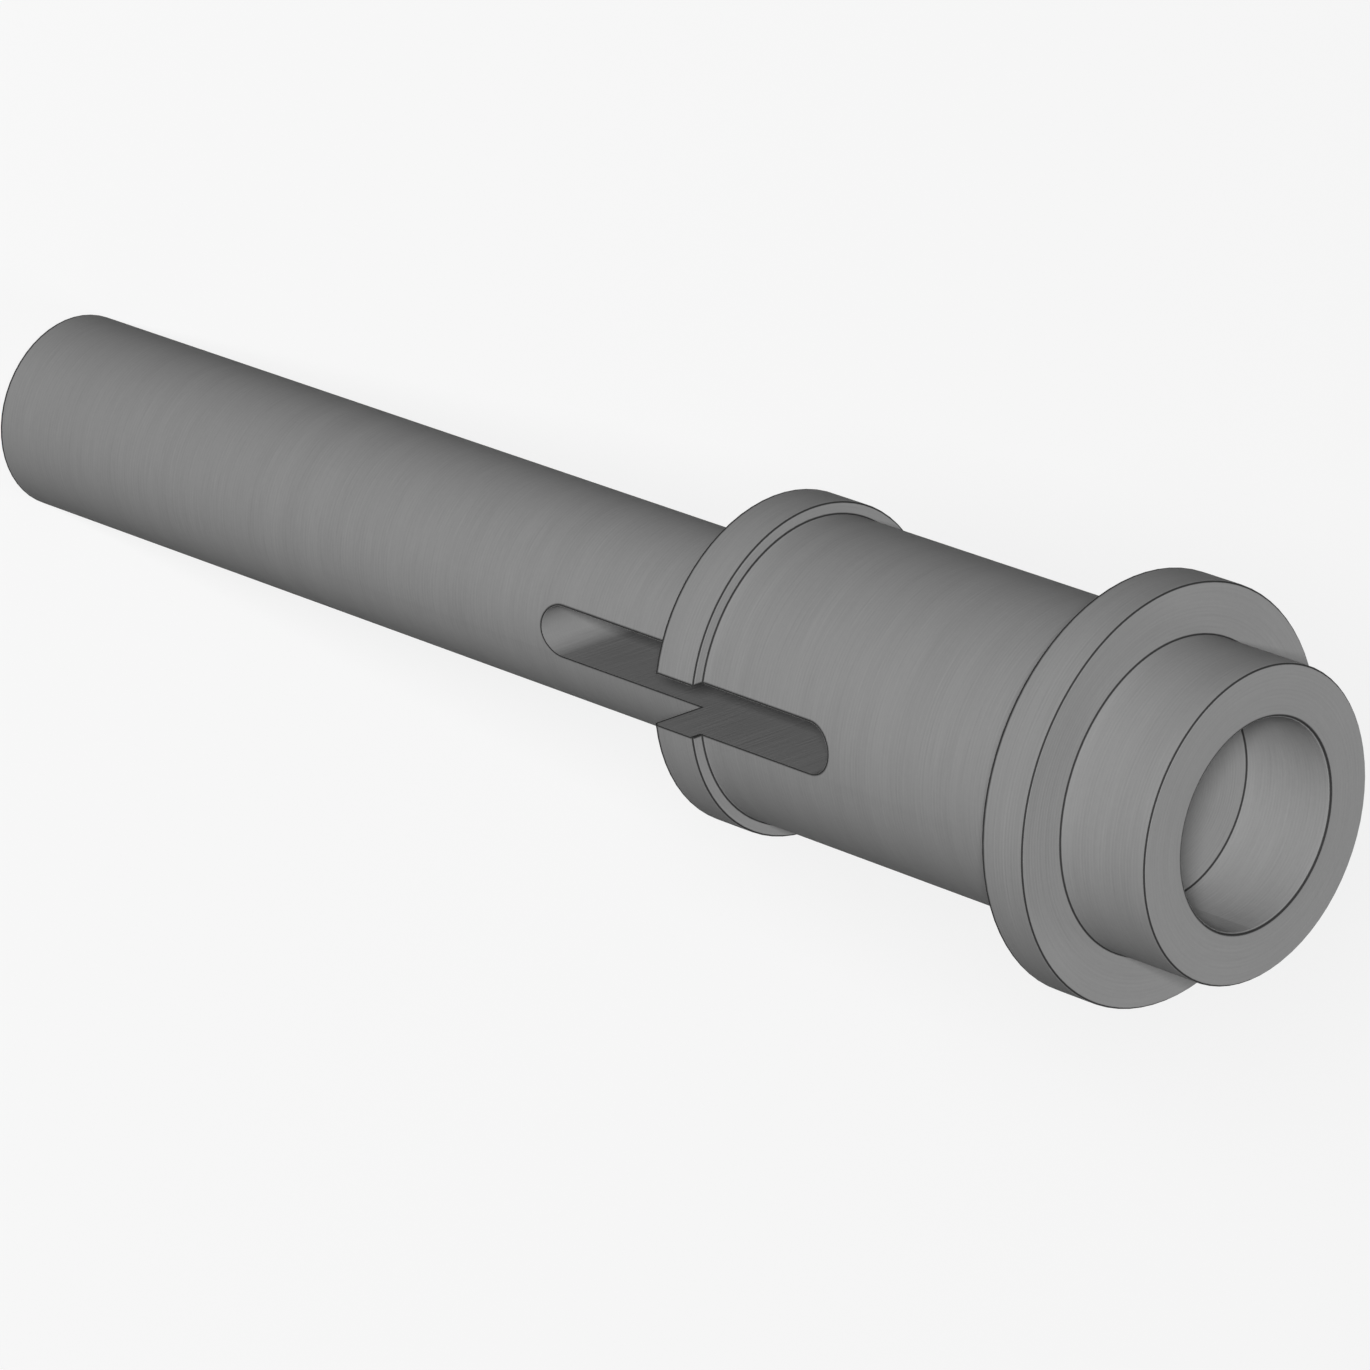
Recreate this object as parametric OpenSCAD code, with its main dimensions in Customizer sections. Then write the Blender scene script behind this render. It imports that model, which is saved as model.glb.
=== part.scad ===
// One-piece stepped shaft, turned from steel bar and slotted right through with an end mill.
// Its axis is Z: the long plain journal stands at the bottom and the nose points up.
// All lengths are in millimetres.

/* [Journal] */
// Diameter of the long plain journal
journal_d = 20; // [12:0.5:24]
// Length of the journal, from its free end to the collar
journal_l = 100; // [60:1:140]

/* [Collar] */
// Diameter of the collar between the journal and the body
collar_d = 32.5; // [31.5:0.25:38]
// Thickness of the collar
collar_l = 5; // [2:0.5:12]

/* [Body] */
// Diameter of the body between the collar and the flange
body_d = 30; // [26:0.5:31]
// Length of the body
body_l = 40; // [28:1:80]

/* [Flange] */
// Diameter of the flange
flange_d = 40; // [36:0.5:60]
// Thickness of the flange
flange_l = 5; // [2:0.5:12]

/* [Nose] */
// Diameter of the locating nose
nose_d = 30; // [26:0.5:34]
// Length of the nose, from the flange to its end face
nose_l = 10; // [4:0.5:20]
// Diameter of the blind bore in the nose
bore_d = 20; // [10:0.5:22]
// Depth of the blind bore, to its flat bottom
bore_depth = 10; // [3:0.5:25]

/* [Cross slot] */
// Width of the slot, and the diameter of the end mill that cuts it
slot_w = 5; // [3:0.5:8]
// Overall length of the slot, over its round ends
slot_l = 42.5; // [30:0.5:46]
// How far the slot reaches below the collar, into the journal
slot_below_collar = 21.25; // [12:0.25:30]

/* [Corners] */
// Width of the bevel that breaks each outer turned corner
edge_break = 0.2; // [0.1:0.05:0.4]
// Radius that the tip of the turning tool leaves in each inner corner
tool_tip_r = 0.2; // [0.1:0.05:0.4]

/* [Hidden] */
$fn = 96;

// How far a cutter runs on past the metal that it cuts
overrun = 1;

// Heights of the turned faces above the free end of the journal
collar_z = journal_l;
body_z = collar_z + collar_l;
flange_z = body_z + body_l;
nose_z = flange_z + flange_l;
top_z = nose_z + nose_l;
bore_z = top_z - bore_depth;

// Height of the slot's lower end, and a cut that is deep enough for the widest step
slot_z = collar_z - slot_below_collar;
slot_depth = max(journal_d, collar_d, body_d, flange_d) + 2 * overrun;

// Section points of the broken corner where a wall of diameter d starts, at height z
function lower_corner(d, z) = [[d / 2 - edge_break, z], [d / 2, z + edge_break]];

// Section points of the broken corner where a wall of diameter d ends, at height z
function upper_corner(d, z) = [[d / 2, z - edge_break], [d / 2 - edge_break, z]];

// Half of the turned bar's section, from the axis outwards
module turned_section() {
    polygon(concat(
        [[0, 0]],
        lower_corner(journal_d, 0),
        [[journal_d / 2, collar_z]],
        lower_corner(collar_d, collar_z),
        upper_corner(collar_d, body_z),
        [[body_d / 2, body_z], [body_d / 2, flange_z]],
        lower_corner(flange_d, flange_z),
        upper_corner(flange_d, nose_z),
        [[nose_d / 2, nose_z]],
        upper_corner(nose_d, top_z),
        [[0, top_z]]
    ));
}

// Section of what the boring tool takes out of the nose, with a bevel at the mouth
module bore_section() {
    mouth = edge_break + overrun;
    polygon([
        [0, bore_z],
        [bore_d / 2, bore_z],
        [bore_d / 2, top_z - edge_break],
        [bore_d / 2 + mouth, top_z + overrun],
        [0, top_z + overrun]
    ]);
}

// Section of the metal that the tip of a turning tool leaves in an inner corner. The corner is
// where a wall of diameter d meets a face at height z. The metal is outside the wall where
// side is 1, or inside it where side is -1, and above the face where rise is 1, or below it
// where rise is -1.
module corner_fillet(d, z, side, rise) {
    corner = [d / 2, z];
    tip = corner + tool_tip_r * [side, rise];
    difference() {
        translate((corner + tip) / 2) square(tool_tip_r, center = true);
        translate(tip) circle(r = tool_tip_r);
    }
}

// The shaft as it leaves the lathe
module turned_shaft() {
    rotate_extrude() {
        difference() {
            union() {
                turned_section();
                corner_fillet(journal_d, collar_z, 1, -1);
                corner_fillet(body_d, body_z, 1, 1);
                corner_fillet(body_d, flange_z, 1, -1);
                corner_fillet(nose_d, nose_z, 1, 1);
            }
            bore_section();
        }
        corner_fillet(bore_d, bore_z, -1, 1);
    }
}

// The path of the end mill: right through along Y, then up along Z between its two round ends
module cross_slot() {
    end_r = slot_w / 2;
    rotate([90, 0, 0])
        linear_extrude(slot_depth, center = true) {
            for (end_z = [slot_z + end_r, slot_z + slot_l - end_r])
                translate([0, end_z]) circle(r = end_r);
            translate([-end_r, slot_z + end_r]) square([slot_w, slot_l - slot_w]);
        }
}

module shaft() {
    color("#868686")
        difference() {
            turned_shaft();
            cross_slot();
        }
}

shaft();
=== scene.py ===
# %% [markdown]
# A stepped shaft, seen as a machinist would hand it over: turned from bar, with a long plain
# journal at one end and a short bored nose at the other, slotted with an end mill, and given a
# matt grey phosphate coat. The shape is already exact in the imported model, so this lesson
# leaves the mesh alone. It spends its effort on what a camera sees of such a part: the marks
# that each tool left, the coat over them, painted shade lines along the broken corners, and a
# light that shows every step of the outline. Lengths are in metres, and MM turns a size in
# millimetres into metres.

# %% Load the imported shaft
import math

import bpy
from mathutils import Matrix, Vector


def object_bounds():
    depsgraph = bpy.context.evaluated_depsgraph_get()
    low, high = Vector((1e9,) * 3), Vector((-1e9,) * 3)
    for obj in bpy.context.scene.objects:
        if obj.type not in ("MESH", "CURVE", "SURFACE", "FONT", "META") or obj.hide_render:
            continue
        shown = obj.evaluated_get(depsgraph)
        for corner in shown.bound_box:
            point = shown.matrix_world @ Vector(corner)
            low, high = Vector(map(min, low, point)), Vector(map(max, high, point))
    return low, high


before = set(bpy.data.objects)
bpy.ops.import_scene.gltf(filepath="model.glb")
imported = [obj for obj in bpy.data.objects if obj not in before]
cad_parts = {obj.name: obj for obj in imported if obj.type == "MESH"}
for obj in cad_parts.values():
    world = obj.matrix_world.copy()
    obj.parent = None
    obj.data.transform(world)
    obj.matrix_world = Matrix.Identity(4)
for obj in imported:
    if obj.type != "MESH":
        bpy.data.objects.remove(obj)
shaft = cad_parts["shaft"]
cad_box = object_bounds()
MM = 0.001
print("Loaded", shaft.name, "with", len(shaft.data.polygons), "faces")

# %% [markdown]
# Every pattern below follows a tool, so it has to know where each tool worked. The turned part
# could be described by typing its diameters in again, but the mesh already holds them: a corner
# that was turned is a ring of vertices at one radius and one height. Reading the rings from the
# mesh means that the finish still fits after the shaft has changed. Each ring keeps the sum of
# its vertices' normals in Z, which says whether it looks up or down.

# %% Find the turned rings
RING_LEAST = 24
LENGTH_PLACES = 6
ANGLE_PLACES = 3

rings = {}
for vertex in shaft.data.vertices:
    x, y, z = vertex.co
    ring = (round(math.hypot(x, y), LENGTH_PLACES), round(z, LENGTH_PLACES))
    rings.setdefault(ring, {})[round(math.atan2(y, x), ANGLE_PLACES)] = vertex.normal.z
rings = {ring: sum(up.values()) for ring, up in rings.items() if len(up) >= RING_LEAST}
print(len(rings), "turned rings of", RING_LEAST, "vertices or more")

# %% [markdown]
# Two or more rings that lie a fraction of a millimetre apart are one broken or filleted corner.
# A painted dark line, a painted shade, will follow each corner, and its place is the middle of
# the rings. Two kinds of corner are turned away from anyone who looks down at a standing shaft.
# One looks down itself, and its place is the widest ring, where the wall begins. The other is
# the bore's mouth, the corner whose widest ring lies at the very top. Its near side is hidden,
# and its place is half way to that ring. Such a line counts only a share of the distance to it,
# which makes it wider, to make up for the part that is hidden.

# %% Place the corners
CORNER_REACH = 0.45 * MM
SAME_HEIGHT = 0.001 * MM
WHOLE_LINE = 1.0
ONE_SIDED = 0.5
PARTLY_HIDDEN = 0.75

corners = []
for ring in sorted(rings):
    near = [c for c in corners if any(math.dist(ring, other) < CORNER_REACH for other in c)]
    if near:
        near[0].append(ring)
    else:
        corners.append([ring])

corner_places = []
for corner in corners:
    middle = Vector([sum(axis) / len(axis) for axis in zip(*corner)])
    widest = Vector(max(corner))
    looks_down = sum(rings[ring] for ring in corner) < 0
    if looks_down:
        corner_places.append((*widest, ONE_SIDED))
    elif widest.y > cad_box[1][2] - SAME_HEIGHT:
        corner_places.append((*(middle + widest) / 2, PARTLY_HIDDEN))
    else:
        corner_places.append((*middle, WHOLE_LINE))
print(len(corner_places), "turned corners at radius and height in mm:")
print([(round(r / MM, 2), round(z / MM, 2)) for r, z, share in corner_places])

# %% [markdown]
# The slot is read from the mesh too. An end mill that goes in along Y leaves only walls whose
# normals have no Y in them. Two other kinds of face have none either. The flat turned faces have
# no X in their normals, and the turned walls have such faces only at their sides, far out in X.
# What is left are the walls of the slot.

# %% Find the slot
NOUGHT = 0.01
STRAIGHT = 0.999
NEAR_MIDDLE = 4.5 * MM

slot_walls = [
    face
    for face in shaft.data.polygons
    if abs(face.normal.y) < NOUGHT < abs(face.normal.x) and abs(face.center.x) < NEAR_MIDDLE
]
straight_walls = [face for face in slot_walls if abs(face.normal.x) > STRAIGHT]
slot_radius = sum(abs(face.center.x) for face in straight_walls) / len(straight_walls)
wall_heights = [shaft.data.vertices[i].co.z for face in slot_walls for i in face.vertices]
slot_low = min(wall_heights)
slot_high = max(wall_heights)
slot_middle = (slot_low + slot_high) / 2
slot_straight = (slot_high - slot_low) / 2 - slot_radius
print("Slot", round(2 * slot_radius / MM, 2), "mm wide, from", round(slot_low / MM, 2), "to",
      round(slot_high / MM, 2), "mm")

# %% [markdown]
# Where the slot cuts through the collar, the collar's two flat faces end in a straight corner on
# the slot's walls. A flat turned face lies between two rings at one height, so the heights with
# two such rings, between the ends of the slot, are the ones to keep. The inner ring's radius
# tells how far in the corner reaches.

# %% Find the faces that the slot cuts
cut_faces = []
for height in sorted({z for r, z in rings}):
    radii = [r for r, z in rings if z == height]
    if slot_low < height < slot_high and max(radii) - min(radii) > CORNER_REACH:
        cut_faces.append((min(radii), height))
print("The slot cuts the faces at", [round(height / MM, 2) for r, height in cut_faces], "mm")

# %% [markdown]
# The finish is zinc phosphate on turned steel. Bare turned steel would be the other choice, but
# it mirrors whatever stands round it. The coat is a layer of grey crystals a few micrometres
# thick: it scatters light almost evenly, so the steel reads as a matt mid grey that darkens
# smoothly towards the sides of each cylinder. It is too thin to fill the marks of the tools, so
# they still show through as a faint grain.

# %% Start the material
def linear(hex_colour):
    """Turn an sRGB hex colour into the linear values that a shader takes."""
    shares = [int(hex_colour[i : i + 2], 16) / 255 for i in (1, 3, 5)]
    values = [s / 12.92 if s <= 0.04045 else ((s + 0.055) / 1.055) ** 2.4 for s in shares]
    return (*values, 1.0)


def add_node(tree, kind, sockets=None, **settings):
    """Add one node with its settings. A socket is given a value, or an output to link to it."""
    node = tree.nodes.new("ShaderNode" + kind)
    for name, value in settings.items():
        setattr(node, name, value)
    for socket, value in (sockets or {}).items():
        if isinstance(value, bpy.types.NodeSocket):
            tree.links.new(value, node.inputs[socket])
        else:
            node.inputs[socket].default_value = value
    return node


phosphated_steel = bpy.data.materials.new("phosphated_turned_steel")
phosphated_steel.use_nodes = True
steel = phosphated_steel.node_tree
steel.nodes.clear()
print("Started", phosphated_steel.name)

# %% [markdown]
# A pattern that follows the lathe needs lathe coordinates: how far out from the axis, how far
# along it, and which way the surface faces. Object coordinates give all three, because the
# shaft's axis is Z. On a wall the tool moved along the axis, and on a flat face it moved
# outwards, so the distance that it fed is the height on one and the radius on the other.

# %% Lathe coordinates
FLAT_FACE = 0.7

place = add_node(steel, "TexCoord")
x_y_z = add_node(steel, "SeparateXYZ", {0: place.outputs["Object"]})
along = x_y_z.outputs["Z"]
across = add_node(
    steel, "VectorMath", {0: place.outputs["Object"], 1: (1, 1, 0)}, operation="MULTIPLY"
)
radius = add_node(steel, "VectorMath", {0: across.outputs[0]}, operation="LENGTH").outputs["Value"]
outwards = add_node(steel, "VectorMath", {0: across.outputs[0]}, operation="NORMALIZE").outputs[0]
facing = add_node(steel, "SeparateXYZ", {0: place.outputs["Normal"]}).outputs["Z"]
upright = add_node(steel, "Math", {0: facing}, operation="ABSOLUTE").outputs[0]
is_flat = add_node(steel, "Math", {0: upright, 1: FLAT_FACE}, operation="GREATER_THAN").outputs[0]
fed = add_node(steel, "Mix", {"Factor": is_flat, "A": along, "B": radius}).outputs[0]
print("Lathe coordinates ready")

# %% [markdown]
# The turning tool leaves a very fine screw thread. Its real pitch is the feed, about 0.12 mm,
# which is about one pixel here, so it is drawn at 0.36 mm to show at all. A sine is the
# simplest ridge. The lathe never cuts quite evenly, so a noise that is stretched round the axis
# breaks the ridges into streaks, and a slow one along the feed shades whole bands of them.

# %% Turning and facing marks
FEED_DRAWN = 0.36 * MM
STREAK_WIDTH = 0.25 * MM
STREAK_TURN = 2.2
STREAK_DETAIL = 2.0
STREAK_ROUGHNESS = 0.6
BAND_WIDTH = 3.0 * MM
BAND_DETAIL = 3.0

ridge_angle = add_node(steel, "Math", {0: fed, 1: math.tau / FEED_DRAWN}, operation="MULTIPLY")
ridges = add_node(steel, "Math", {0: ridge_angle.outputs[0]}, operation="SINE").outputs[0]
streak_step = add_node(steel, "Math", {0: fed, 1: 1 / STREAK_WIDTH}, operation="MULTIPLY")
streak_turn = add_node(
    steel, "VectorMath", {0: outwards, "Scale": STREAK_TURN}, operation="SCALE"
)
streak_lift = add_node(steel, "CombineXYZ", {"Z": streak_step.outputs[0]})
streak_place = add_node(
    steel, "VectorMath", {0: streak_turn.outputs[0], 1: streak_lift.outputs[0]}, operation="ADD"
)
streaks = add_node(
    steel,
    "TexNoise",
    {
        "Vector": streak_place.outputs[0],
        "Scale": 1.0,
        "Detail": STREAK_DETAIL,
        "Roughness": STREAK_ROUGHNESS,
    },
).outputs[0]
bands = add_node(
    steel,
    "TexNoise",
    {"W": fed, "Scale": 1 / BAND_WIDTH, "Detail": BAND_DETAIL},
    noise_dimensions="1D",
).outputs[0]
print("Ridges every", FEED_DRAWN / MM, "mm")

# %% [markdown]
# The end mill cut the slot's walls with its side. Each tooth leaves a line parallel to the
# mill's own axis, which is Y, and the lines follow each other along the slot. A tooth's bite is
# about 0.05 mm, too fine to show, so they are drawn 0.3 mm apart. The slot's outline is a
# straight stretch with two round ends, so the distance from a point to that outline is the
# distance to a line segment less the mill's radius. It is nought on the walls and grows outside,
# which gives both the walls and, later, the mouth.

# %% Milled marks in the slot
MILL_MARK_DRAWN = 0.3 * MM
MILL_MARK_LENGTH = 8.0 * MM
MILL_MARK_DETAIL = 1.5
WALL_DEPTH = 0.02 * MM

up_slot = add_node(steel, "Math", {0: along, 1: slot_middle}, operation="SUBTRACT").outputs[0]
up_slot = add_node(steel, "Math", {0: up_slot}, operation="ABSOLUTE").outputs[0]
past_end = add_node(steel, "Math", {0: up_slot, 1: slot_straight}, operation="SUBTRACT").outputs[0]
past_straight = add_node(steel, "Math", {0: past_end, 1: 0.0}, operation="MAXIMUM").outputs[0]
off_segment = add_node(
    steel, "CombineXYZ", {"X": x_y_z.outputs["X"], "Z": past_straight}
).outputs[0]
from_segment = add_node(
    steel, "VectorMath", {0: off_segment}, operation="LENGTH"
).outputs["Value"]
from_slot = add_node(
    steel, "Math", {0: from_segment, 1: slot_radius}, operation="SUBTRACT"
).outputs[0]
in_slot = add_node(steel, "Math", {0: from_slot, 1: WALL_DEPTH}, operation="LESS_THAN").outputs[0]
mill_place = add_node(
    steel,
    "VectorMath",
    {0: place.outputs["Object"], 1: (0, 1 / MILL_MARK_LENGTH, 1 / MILL_MARK_DRAWN)},
    operation="MULTIPLY",
)
mill_marks = add_node(
    steel,
    "TexNoise",
    {"Vector": mill_place.outputs[0], "Scale": 1.0, "Detail": MILL_MARK_DETAIL},
).outputs[0]
print("Slot walls marked every", MILL_MARK_DRAWN / MM, "mm")

# %% [markdown]
# The coat itself is a felt of crystals 5 to 20 micrometres across, far below a pixel. What
# the eye catches is how their density drifts, so two soft noises stand in for it: a speckle
# drawn at 0.5 mm and a cloud at 9 mm.

# %% Crystals of the coat
SPECKLE_DRAWN = 0.5 * MM
SPECKLE_DETAIL = 3.0
CLOUD_WIDTH = 9.0 * MM
CLOUD_DETAIL = 2.0

speckle = add_node(
    steel,
    "TexNoise",
    {"Vector": place.outputs["Object"], "Scale": 1 / SPECKLE_DRAWN, "Detail": SPECKLE_DETAIL},
).outputs[0]
cloud = add_node(
    steel,
    "TexNoise",
    {"Vector": place.outputs["Object"], "Scale": 1 / CLOUD_WIDTH, "Detail": CLOUD_DETAIL},
).outputs[0]
print("Coat speckled at", SPECKLE_DRAWN / MM, "mm")

# %% [markdown]
# Each corner gets a thin line of painted shade: the coat's colour is darkened along it, as shade
# would darken it. Each turned corner is a circle, so the distance to it is a distance in radius
# and height alone, to the place that was found above. The least of these distances is the one
# that counts.

# %% Distance to the turned corners
r_and_z = add_node(steel, "CombineXYZ", {"X": radius, "Z": along}).outputs[0]
nearest = None
for corner_radius, corner_height, share in corner_places:
    gap = add_node(
        steel,
        "VectorMath",
        {0: r_and_z, 1: (corner_radius, 0, corner_height)},
        operation="DISTANCE",
    ).outputs["Value"]
    gap = add_node(steel, "Math", {0: gap, 1: share}, operation="MULTIPLY").outputs[0]
    if nearest is None:
        nearest = gap
    else:
        nearest = add_node(steel, "Math", {0: nearest, 1: gap}, operation="MINIMUM").outputs[0]
print("Distance to the nearest of", len(corner_places), "corners")

# %% [markdown]
# The slot's mouth gets a painted shade line too, on the strip just outside its outline, so it
# shows only one side of its line. The walls inside are set far off, so that they stay clear of
# it. The painted shade lines at the corners with the collar's faces are the other way round:
# they are drawn on the walls alone, and everything else is set far off.

# %% Distance to the slot's corners
FAR = 1.0 * MM

mouth_gap = add_node(
    steel, "Math", {0: from_slot, 1: ONE_SIDED}, operation="MULTIPLY"
).outputs[0]
mouth_gap = add_node(
    steel, "Math", {0: in_slot, 1: FAR, 2: mouth_gap}, operation="MULTIPLY_ADD"
).outputs[0]
nearest = add_node(steel, "Math", {0: nearest, 1: mouth_gap}, operation="MINIMUM").outputs[0]

off_walls = add_node(steel, "Math", {0: 1.0, 1: in_slot}, operation="SUBTRACT").outputs[0]
for inner_radius, height in cut_faces:
    above = add_node(steel, "Math", {0: along, 1: height}, operation="SUBTRACT").outputs[0]
    inside = add_node(steel, "Math", {0: inner_radius, 1: radius}, operation="SUBTRACT").outputs[0]
    inside = add_node(steel, "Math", {0: inside, 1: 0.0}, operation="MAXIMUM").outputs[0]
    off_corner = add_node(steel, "CombineXYZ", {"X": inside, "Z": above}).outputs[0]
    gap = add_node(steel, "VectorMath", {0: off_corner}, operation="LENGTH").outputs["Value"]
    gap = add_node(steel, "Math", {0: gap, 1: ONE_SIDED}, operation="MULTIPLY").outputs[0]
    gap = add_node(
        steel, "Math", {0: off_walls, 1: FAR, 2: gap}, operation="MULTIPLY_ADD"
    ).outputs[0]
    nearest = add_node(steel, "Math", {0: nearest, 1: gap}, operation="MINIMUM").outputs[0]
print("Distance to the slot's mouth and to", len(cut_faces), "corners on its walls")

# %% [markdown]
# A smooth step makes a painted shade line out of the least distance: dark close to the corner,
# and gone a little further out.

# %% Painted shade lines at the corners
CORNER_DARK = 0.05 * MM
CORNER_FADE = 0.15 * MM

# Painted shade: 1 on a thin line along each corner, where the coat's colour is darkened.
painted_shade_line = add_node(
    steel,
    "MapRange",
    {
        "Value": nearest,
        "From Min": CORNER_DARK,
        "From Max": CORNER_FADE,
        "To Min": 1.0,
        "To Max": 0.0,
    },
    interpolation_type="SMOOTHSTEP",
).outputs[0]
print("Corner lines", round(2 * CORNER_FADE / MM, 2), "mm wide with their soft edges")

# %% [markdown]
# The patterns are small shares of one grey. The strongest is the marks of the tool that cut the
# surface: streaks on what was turned, and the mill's lines in the slot. Each noise runs from
# about 0.3 to 0.7, so it is centred before it is weighed. The sum is a tone close to 1, which
# will multiply the coat's own colour.

# %% Tone of the patterns
NOISE_LOW = 0.3
NOISE_HIGH = 0.7
NOISE_MIDDLE = (NOISE_LOW + NOISE_HIGH) / 2
TOOL_SHARE = 0.18
BAND_SHARE = 0.10
SPECKLE_SHARE = 0.06
CLOUD_SHARE = 0.05
RIDGE_SHARE = 0.012

tool_marks = add_node(
    steel, "Mix", {"Factor": in_slot, "A": streaks, "B": mill_marks}
).outputs[0]
patterns = [
    (tool_marks, TOOL_SHARE),
    (bands, BAND_SHARE),
    (speckle, SPECKLE_SHARE),
    (cloud, CLOUD_SHARE),
]
tone = None
for pattern, share in patterns:
    centred = add_node(
        steel, "Math", {0: pattern, 1: NOISE_MIDDLE}, operation="SUBTRACT"
    ).outputs[0]
    weighed = add_node(steel, "Math", {0: centred, 1: share}, operation="MULTIPLY").outputs[0]
    if tone is None:
        tone = weighed
    else:
        tone = add_node(steel, "Math", {0: tone, 1: weighed}, operation="ADD").outputs[0]
tone = add_node(
    steel, "Math", {0: ridges, 1: RIDGE_SHARE, 2: tone}, operation="MULTIPLY_ADD"
).outputs[0]
tone = add_node(steel, "Math", {0: tone, 1: 1.0}, operation="ADD").outputs[0]
print("Tone from", len(patterns), "noises and the ridges")

# %% [markdown]
# Two factors darken the coat as a whole, and both are painted shade: the lines along the
# corners, and a shade on the straight walls of the slot that fades out in the round ends.
# Each is a factor, so it is 1 where it has no say.

# %% Colour
COAT_GREY = "#939393"
# Painted shade: the corner lines darken the coat's colour to this share.
CORNER_PAINTED_SHADE = 0.12
# Painted shade: the slot's straight walls are darkened to this share.
SLOT_WALL_PAINTED_SHADE = 0.75
END_FADE = 2.0 * MM

# Painted shade along the corners: the coat's colour is multiplied down there.
painted_corner_shade = add_node(
    steel, "Math", {0: painted_shade_line, 1: CORNER_PAINTED_SHADE - 1, 2: 1.0}, operation="MULTIPLY_ADD"
).outputs[0]
tone = add_node(steel, "Math", {0: tone, 1: painted_corner_shade}, operation="MULTIPLY").outputs[0]
# Painted shade on the straight walls of the slot, fading out into the round ends.
on_straight = add_node(
    steel,
    "MapRange",
    {"Value": past_straight, "From Min": 0.0, "From Max": END_FADE, "To Min": 1.0, "To Max": 0.0},
).outputs[0]
painted_slot_shade_mask = add_node(steel, "Math", {0: in_slot, 1: on_straight}, operation="MULTIPLY").outputs[0]
painted_wall_shade = add_node(
    steel, "Math", {0: painted_slot_shade_mask, 1: SLOT_WALL_PAINTED_SHADE - 1, 2: 1.0}, operation="MULTIPLY_ADD"
).outputs[0]
tone = add_node(steel, "Math", {0: tone, 1: painted_wall_shade}, operation="MULTIPLY").outputs[0]
coat_colour = add_node(
    steel, "VectorMath", {0: linear(COAT_GREY)[:3], "Scale": tone}, operation="SCALE"
).outputs[0]
print("Coat colour", COAT_GREY)

# %% [markdown]
# Relief comes last. A turned ridge is 2 or 3 micrometres high, and that is the height used. The
# streaks and the mill's lines each stand for a group of finer ones, so they are drawn higher than
# any one of those. A Bump node with a distance of 1 takes heights in metres as they are. The coat
# is dull all over, and a touch duller where it lies thick on a streak.

# %% Relief and roughness
RIDGE_HEIGHT = 0.0022 * MM
STREAK_HEIGHT = 0.018 * MM
MILL_HEIGHT = 0.045 * MM
GRAIN_HEIGHT = 0.006 * MM
DULL = 0.56
DULLEST = 0.68

ridge_relief = add_node(
    steel, "Math", {0: ridges, 1: RIDGE_HEIGHT}, operation="MULTIPLY"
).outputs[0]
turned_relief = add_node(
    steel, "Math", {0: streaks, 1: STREAK_HEIGHT, 2: ridge_relief}, operation="MULTIPLY_ADD"
).outputs[0]
milled_relief = add_node(
    steel, "Math", {0: mill_marks, 1: MILL_HEIGHT}, operation="MULTIPLY"
).outputs[0]
relief = add_node(
    steel, "Mix", {"Factor": in_slot, "A": turned_relief, "B": milled_relief}
).outputs[0]
relief = add_node(
    steel, "Math", {0: speckle, 1: GRAIN_HEIGHT, 2: relief}, operation="MULTIPLY_ADD"
).outputs[0]
bump = add_node(steel, "Bump", {"Height": relief, "Distance": 1.0, "Strength": 1.0})
roughness = add_node(
    steel,
    "MapRange",
    {
        "Value": streaks,
        "From Min": NOISE_LOW,
        "From Max": NOISE_HIGH,
        "To Min": DULL,
        "To Max": DULLEST,
    },
).outputs[0]
print("Streaks", STREAK_HEIGHT / MM, "mm high, mill's lines", MILL_HEIGHT / MM, "mm high")

# %% [markdown]
# One Principled shader carries it all. The crystals scatter light in every direction and hide
# the metal below, so the coat isn't metallic and has next to no gloss. A blend of bare metal
# and paint lights up along the sides, where the real coat stays dark.

# %% Put the coat on the shaft
COAT_GLOSS = 0.03

coat = add_node(
    steel,
    "BsdfPrincipled",
    {
        "Base Color": coat_colour,
        "Roughness": roughness,
        "Metallic": 0.0,
        "Specular IOR Level": COAT_GLOSS,
        "Normal": bump.outputs[0],
    },
)
add_node(steel, "OutputMaterial", {"Surface": coat.outputs[0]})
for slot in shaft.material_slots:
    slot.material = phosphated_steel
print("Coated", shaft.name, "in", len(shaft.material_slots), "slot")

# %% [markdown]
# The camera looks down on the standing shaft from in front and to the left, through a long lens,
# and is rolled until the shaft lies across the frame with its nose at the lower right. Aim,
# bearing, elevation and roll say more to a reader than a rotation matrix does, so the
# matrix is worked out from them.

# %% Camera
AIM = Vector((4.754, -2.569, 90.602)) * MM
BEARING = math.radians(-27.958)
ELEVATION = math.radians(41.250)
ROLL = math.radians(-109.718)
DISTANCE = 778.70 * MM
SENSOR_MM = 36.0
LENS_MM = 216.09


def direction(bearing, elevation):
    """Point from the aim towards a thing at that bearing, where 0 is straight in front."""
    level = math.cos(elevation)
    return Vector((math.sin(bearing) * level, -math.cos(bearing) * level, math.sin(elevation)))


to_camera = direction(BEARING, ELEVATION)
camera_data = bpy.data.cameras.new("view")
camera_data.sensor_width = SENSOR_MM
camera_data.lens = LENS_MM
camera = bpy.data.objects.new("view", camera_data)
turned_to_aim = to_camera.to_track_quat("Z", "Y").to_matrix().to_4x4()
camera.matrix_world = (
    Matrix.Translation(AIM + to_camera * DISTANCE) @ turned_to_aim @ Matrix.Rotation(-ROLL, 4, "Z")
)
bpy.context.scene.collection.objects.link(camera)
bpy.context.scene.camera = camera
bpy.context.scene.view_settings.view_transform = "Standard"
print("Camera", round(DISTANCE / MM), "mm away, lens", LENS_MM, "mm")

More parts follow.
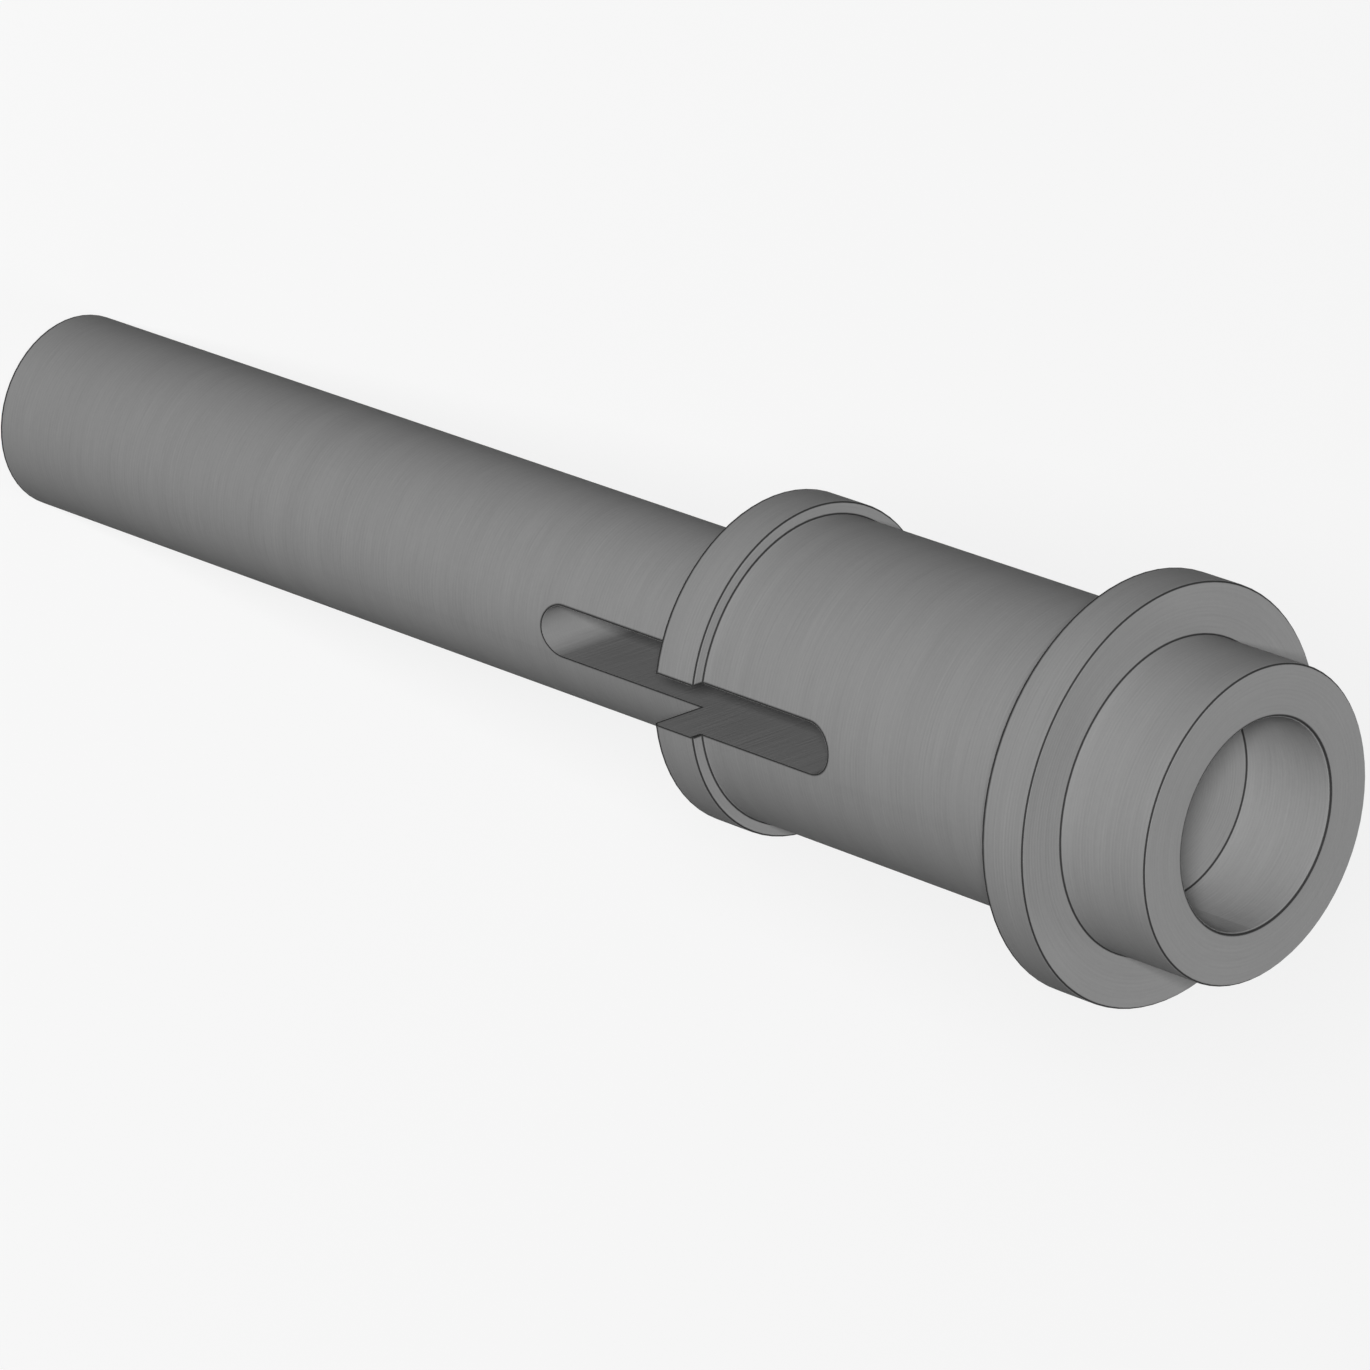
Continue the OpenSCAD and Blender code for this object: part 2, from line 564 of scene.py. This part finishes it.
# %% [markdown]
# One soft lamp stands behind the camera, so its shadows fall behind the shaft and every cylinder
# is brightest where it faces the viewer. It stands a little lower than the camera, which keeps
# the flat faces that look up a shade darker than the cylinders. A second lamp stands low on the
# opposite side. It only grazes what this camera sees, but it lights the back of the shaft for
# anyone who walks round it. A weak third one hangs overhead. It only grazes the upright walls,
# and shows the bottom of the bore and the shaded side of the flange.
#
# A square lamp of P watts lights a sheet that faces it at a distance d with P / (pi d^2), and a
# white sheet sends 1 / pi of that to the eye. So P is pi^2 d^2 times the brightness wanted.

# %% Lamps
LAMP_DISTANCE = 2.4
KEY_ELEVATION = math.radians(37.5)
KEY_SIZE = 0.4
KEY_LEVEL = 1.05
BACK_ELEVATION = math.radians(2)
BACK_SIZE = 0.8
BACK_LEVEL = 0.9
TOP_ELEVATION = math.radians(90)
TOP_SIZE = 1.0
TOP_LEVEL = 0.03


def softbox(name, bearing, elevation, size, level):
    """Add a square lamp that gives a white sheet facing it the brightness called level."""
    data = bpy.data.lights.new(name, "AREA")
    data.size = size
    data.energy = level * math.pi**2 * LAMP_DISTANCE**2
    lamp = bpy.data.objects.new(name, data)
    towards = direction(bearing, elevation)
    turned_to_shaft = towards.to_track_quat("Z", "Y").to_matrix().to_4x4()
    lamp.matrix_world = Matrix.Translation(AIM + towards * LAMP_DISTANCE) @ turned_to_shaft
    bpy.context.scene.collection.objects.link(lamp)
    print(name, round(data.energy), "W")


softbox("key", BEARING, KEY_ELEVATION, KEY_SIZE, KEY_LEVEL)
softbox("back", BEARING + math.pi, BACK_ELEVATION, BACK_SIZE, BACK_LEVEL)
softbox("top", BEARING, TOP_ELEVATION, TOP_SIZE, TOP_LEVEL)

# %% [markdown]
# The background should look pale, but pale surroundings throw a lot of light on the shaft and
# wash out its dark sides. Light Path keeps the two apart. It tells the rays that show a surface
# to the camera, directly, in a mirror or through glass, from those that only carry light.

# %% Rays that show the background
def seen_rays(tree):
    """Tell the rays that show a surface from those that only carry its light to another."""
    ray = add_node(tree, "LightPath")
    seen = ray.outputs["Is Camera Ray"]
    for kind in ("Is Glossy Ray", "Is Transmission Ray"):
        seen = add_node(
            tree, "Math", {0: seen, 1: ray.outputs[kind]}, operation="MAXIMUM"
        ).outputs[0]
    return seen


print("Seen rays are told apart by Light Path")

# %% [markdown]
# The floor is a plain pale sheet that runs out of sight in every direction. Seen rays meet a pale
# glow with a share of real shading in it, which keeps the shaft's shadow, and light that bounces
# meets only a grey sheet. The glow gives up as much as the shading is expected to add, so the
# floor comes out as pale as it is written.

# %% Floor
PALE = "#f6f6f6"
FLOOR_HALF = 6.0
SHADED_SHARE = 0.20
FLOOR_LIGHT = 0.72
BOUNCE = 0.03

floor_material = bpy.data.materials.new("pale_floor")
floor_material.use_nodes = True
sheet = floor_material.node_tree
sheet.nodes.clear()
pale = linear(PALE)
paint = add_node(sheet, "BsdfDiffuse", {"Color": [SHADED_SHARE * c for c in pale[:3]] + [1.0]})
glow = add_node(sheet, "Emission", {"Color": pale, "Strength": 1 - SHADED_SHARE * FLOOR_LIGHT})
shown = add_node(sheet, "AddShader", {0: paint.outputs[0], 1: glow.outputs[0]})
grey = add_node(sheet, "BsdfDiffuse", {"Color": [BOUNCE * c for c in pale[:3]] + [1.0]})
either = add_node(
    sheet, "MixShader", {0: seen_rays(sheet), 1: grey.outputs[0], 2: shown.outputs[0]}
)
add_node(sheet, "OutputMaterial", {"Surface": either.outputs[0]})

floor_mesh = bpy.data.meshes.new("floor")
floor_z = cad_box[0][2]
floor_corners = [(-1, -1), (1, -1), (1, 1), (-1, 1)]
floor_mesh.from_pydata(
    [(x * FLOOR_HALF, y * FLOOR_HALF, floor_z) for x, y in floor_corners], [], [(0, 1, 2, 3)]
)
floor = bpy.data.objects.new("floor", floor_mesh)
floor.data.materials.append(floor_material)
bpy.context.scene.collection.objects.link(floor)
print("Floor at height", round(floor_z / MM, 2), "mm")

# %% [markdown]
# The room beyond the floor is the same pale colour, so that no horizon shows. As light it would
# fill every shadow and flatten the cylinders, so unseen rays get only a few hundredths of it.

# %% World
AMBIENT = 0.06

world = bpy.data.worlds.new("pale_room")
bpy.context.scene.world = world
world.use_nodes = True
room = world.node_tree
room.nodes.clear()
strength = add_node(
    room,
    "MapRange",
    {"Value": seen_rays(room), "From Min": 0.0, "From Max": 1.0, "To Min": AMBIENT, "To Max": 1.0},
).outputs[0]
air = add_node(room, "Background", {"Color": pale, "Strength": strength})
add_node(room, "OutputWorld", {"Surface": air.outputs[0]})
print("Ambient light", AMBIENT)

# %% [markdown]
# The coat has no thickness here, so the dressed shaft keeps the size of the imported one.

# %% Finish
print("Scene built")
